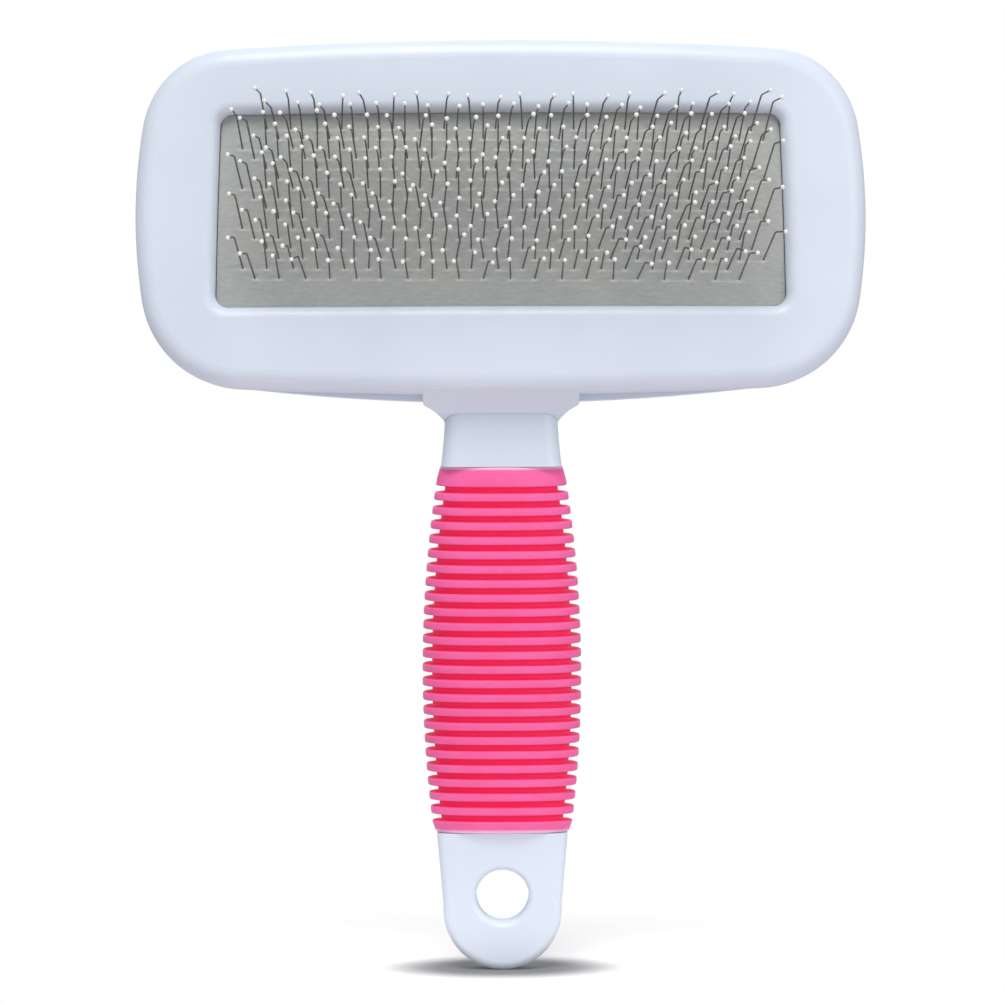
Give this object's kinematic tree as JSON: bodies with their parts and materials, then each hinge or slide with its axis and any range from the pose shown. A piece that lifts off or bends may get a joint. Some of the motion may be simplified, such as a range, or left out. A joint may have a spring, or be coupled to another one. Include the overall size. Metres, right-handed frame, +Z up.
{
  "type": "slicker brush",
  "caption": "Hand brush for pet hair: a wide bowed head with bent wire pins in a cushioned pad, on a short handle with a ribbed soft grip and a hanging hole.",
  "frame": {"origin": "centre of the hanging hole, halfway through the tail's thickness", "axes": "+Z up the handle to the head, +X to the right seen from the pins' side, pins face -Y"},
  "size_m": [0.1472, 0.0399, 0.1876],
  "materials": {
    "white_abs": "injection-moulded white ABS, satin gloss",
    "pink_tpr": "moulded pink TPR, soft satin",
    "grey_rubber": "calendered grey rubber facing, matte",
    "woven_cloth": "plain-woven cotton foundation",
    "foam": "open-cell polyurethane foam",
    "steel_wire": "drawn and tempered steel wire",
    "white_beads": "cured white resin beads"
  },
  "bodies": {
    "holder": {"front_frame": "white_abs", "back_shell": "white_abs", "handle": "white_abs", "grip_sleeve": "pink_tpr", "foam_cushion": "foam"},
    "pad": {"pad_facing": "grey_rubber", "pad_foundation": "woven_cloth", "pin_row_01": "steel_wire", "pin_row_02": "steel_wire", "pin_row_03": "steel_wire", "pin_row_04": "steel_wire", "pin_row_05": "steel_wire", "pin_row_06": "steel_wire", "pin_row_07": "steel_wire", "pin_row_08": "steel_wire", "pin_row_09": "steel_wire", "pin_row_10": "steel_wire", "pin_row_11": "steel_wire", "pin_row_12": "steel_wire", "pin_row_13": "steel_wire", "pin_row_14": "steel_wire", "pin_row_15": "steel_wire", "pin_row_16": "steel_wire", "pin_tips_01": "white_beads", "pin_tips_02": "white_beads", "pin_tips_03": "white_beads", "pin_tips_04": "white_beads", "pin_tips_05": "white_beads", "pin_tips_06": "white_beads", "pin_tips_07": "white_beads", "pin_tips_08": "white_beads", "pin_tips_09": "white_beads", "pin_tips_10": "white_beads", "pin_tips_11": "white_beads", "pin_tips_12": "white_beads", "pin_tips_13": "white_beads", "pin_tips_14": "white_beads", "pin_tips_15": "white_beads", "pin_tips_16": "white_beads"}
  },
  "joints": [
    {"name": "pad_press", "type": "slide", "parent": "holder", "child": "pad", "axis": [0, 1, 0], "range_m": [0, 0.0012], "stiffness_N_per_m": 10000, "springref_m": -0.0004, "deforming": ["foam_cushion"]}
  ]
}
